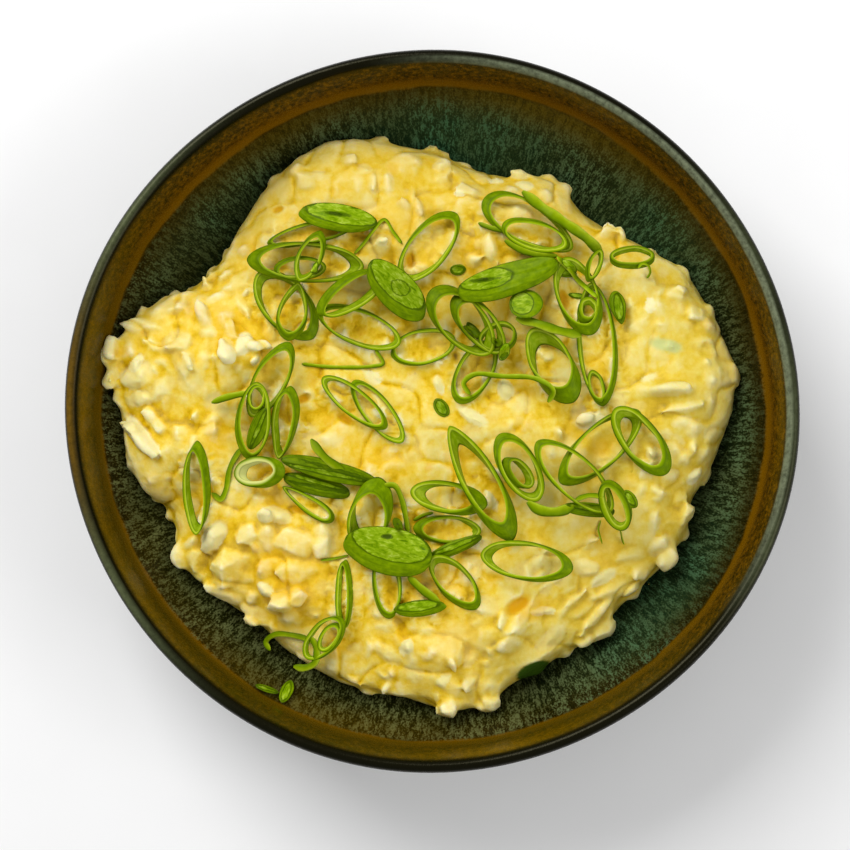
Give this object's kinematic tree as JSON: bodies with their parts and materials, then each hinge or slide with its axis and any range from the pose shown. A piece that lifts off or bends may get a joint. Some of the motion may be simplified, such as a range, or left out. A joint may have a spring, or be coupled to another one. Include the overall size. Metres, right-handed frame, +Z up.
{
  "type": "egg spread in a bowl",
  "caption": "Chopped egg spread heaped in a round dark glazed bowl, scattered with sliced spring onion.",
  "frame": {"origin": "centre of the bowl's foot, on the surface it stands on", "axes": "+Z up through the middle of the bowl, +X to the right and +Y to the far side as seen from above"},
  "size_m": [0.2008, 0.1974, 0.052],
  "materials": {
    "glaze": "gloss",
    "egg": "satin",
    "onion": "satin"
  },
  "bodies": {
    "root": {"bowl": "glaze", "egg_spread": "egg", "onion_leaf_a1": "onion", "onion_leaf_b3b": "onion", "onion_leaf_c7": "onion", "onion_leaf_c9": "onion", "onion_leaf_d2": "onion", "onion_leaf_d7": "onion", "onion_leaf_e8a": "onion", "onion_leaf_e8b": "onion", "onion_leaf_j1": "onion", "onion_leaf_k3": "onion", "onion_leaf_k8": "onion", "onion_leaf_m1": "onion", "onion_leaf_m2": "onion", "onion_ring_a2": "onion", "onion_ring_a3": "onion", "onion_ring_a5": "onion", "onion_ring_a6": "onion", "onion_ring_a7": "onion", "onion_ring_b2": "onion", "onion_ring_b3": "onion", "onion_ring_b4": "onion", "onion_ring_b5": "onion", "onion_ring_c2": "onion", "onion_ring_c3": "onion", "onion_ring_c8a": "onion", "onion_ring_d1": "onion", "onion_ring_d4": "onion", "onion_ring_d5": "onion", "onion_ring_d8": "onion", "onion_ring_d9": "onion", "onion_ring_e1": "onion", "onion_ring_e2": "onion", "onion_ring_e3": "onion", "onion_ring_e5": "onion", "onion_ring_e6": "onion", "onion_ring_e8e": "onion", "onion_ring_f2a": "onion", "onion_ring_f2b": "onion", "onion_ring_f6": "onion", "onion_ring_g1": "onion", "onion_ring_g3": "onion", "onion_ring_g4": "onion", "onion_ring_g6": "onion", "onion_ring_h1": "onion", "onion_ring_h3": "onion", "onion_ring_h4": "onion", "onion_ring_h5": "onion", "onion_ring_k1": "onion", "onion_ring_k2": "onion", "onion_ring_k5": "onion", "onion_ring_k6": "onion", "onion_ring_k9": "onion", "onion_ring_l1": "onion", "onion_strip_c10": "onion", "onion_strip_c4": "onion", "onion_strip_g2": "onion", "onion_strip_h7": "onion"}
  },
  "joints": []
}
